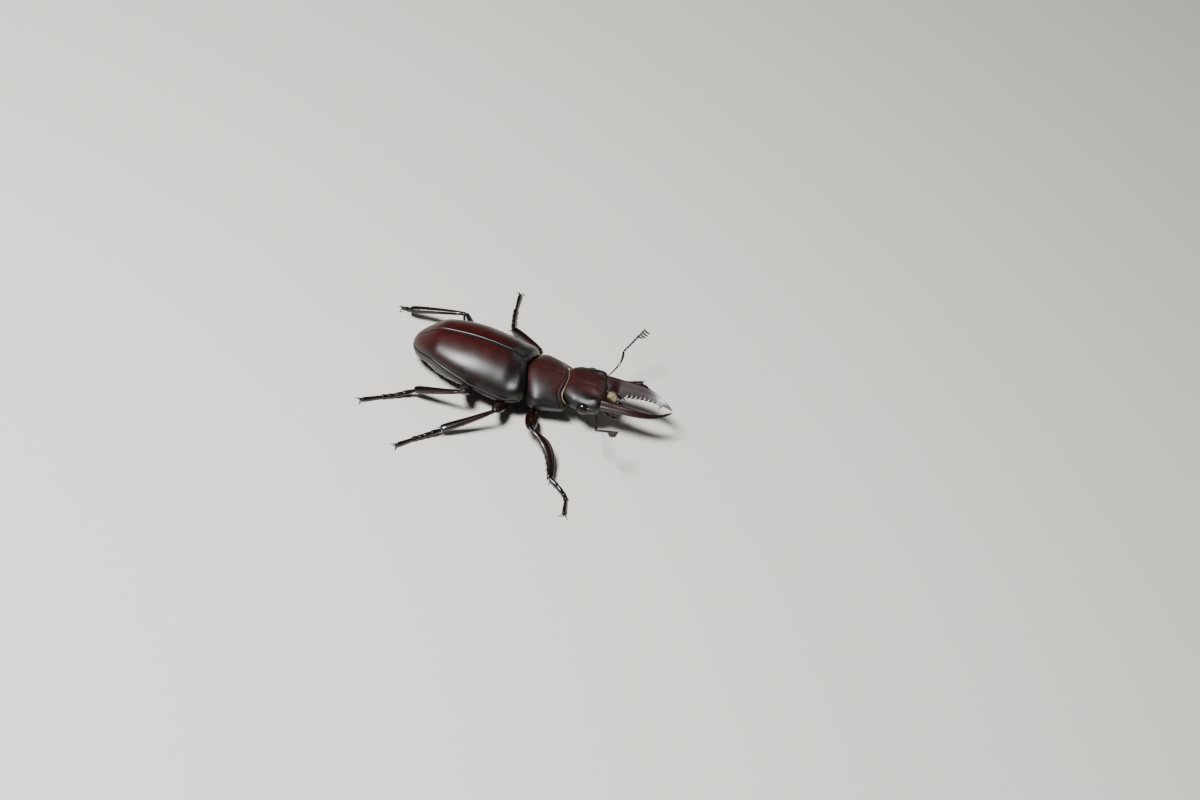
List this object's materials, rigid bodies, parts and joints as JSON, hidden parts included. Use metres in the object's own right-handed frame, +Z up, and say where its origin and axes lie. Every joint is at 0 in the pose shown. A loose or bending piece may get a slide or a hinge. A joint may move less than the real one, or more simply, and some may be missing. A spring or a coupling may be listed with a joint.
{
  "type": "stag beetle model",
  "caption": "Life-size standing stag beetle, male, with long curved jaws held forward, satin red-brown wing cases and all legs spread.",
  "frame": {"origin": "middle of the model's footprint, on the floor it stands on", "axes": "-Y is where the head and jaws point, +Y the tail, +X the beetle's left, +Z up"},
  "size_m": [0.0504, 0.0516, 0.012],
  "materials": {
    "wing_case_shell": "dark red-brown shell, satin, with a fine pitted grain",
    "back_shell": "dark red-brown to black shell, satin and grainy",
    "jaw_shell": "very dark maroon shell, glossy, black at the tips",
    "belly_shell": "black-brown shell, glossy",
    "leg_shell": "black-brown shell, glossy",
    "feeler_shell": "black-brown shell, semi-gloss",
    "eye": "black, high gloss"
  },
  "bodies": {
    "root": {"abdomen": "belly_shell", "club_left": "feeler_shell", "club_right": "feeler_shell", "coxa_front_left": "leg_shell", "coxa_front_right": "leg_shell", "coxa_hind_left": "leg_shell", "coxa_hind_right": "leg_shell", "coxa_middle_left": "leg_shell", "coxa_middle_right": "leg_shell", "elytron_left": "wing_case_shell", "elytron_right": "wing_case_shell", "eye_left": "eye", "eye_right": "eye", "femur_front_left": "leg_shell", "femur_front_right": "leg_shell", "femur_hind_left": "leg_shell", "femur_hind_right": "leg_shell", "femur_middle_left": "leg_shell", "femur_middle_right": "leg_shell", "funicle_left": "feeler_shell", "funicle_right": "feeler_shell", "head": "back_shell", "labrum": "feeler_shell", "mandible_left": "jaw_shell", "mandible_right": "jaw_shell", "palp_labial_left": "feeler_shell", "palp_labial_right": "feeler_shell", "palp_maxillary_left": "feeler_shell", "palp_maxillary_right": "feeler_shell", "prothorax": "back_shell", "pterothorax": "belly_shell", "scape_left": "feeler_shell", "scape_right": "feeler_shell", "scutellum": "wing_case_shell", "tarsus_front_left": "leg_shell", "tarsus_front_right": "leg_shell", "tarsus_hind_left": "leg_shell", "tarsus_hind_right": "leg_shell", "tarsus_middle_left": "leg_shell", "tarsus_middle_right": "leg_shell", "tibia_front_left": "leg_shell", "tibia_front_right": "leg_shell", "tibia_hind_left": "leg_shell", "tibia_hind_right": "leg_shell", "tibia_middle_left": "leg_shell", "tibia_middle_right": "leg_shell"}
  },
  "joints": []
}
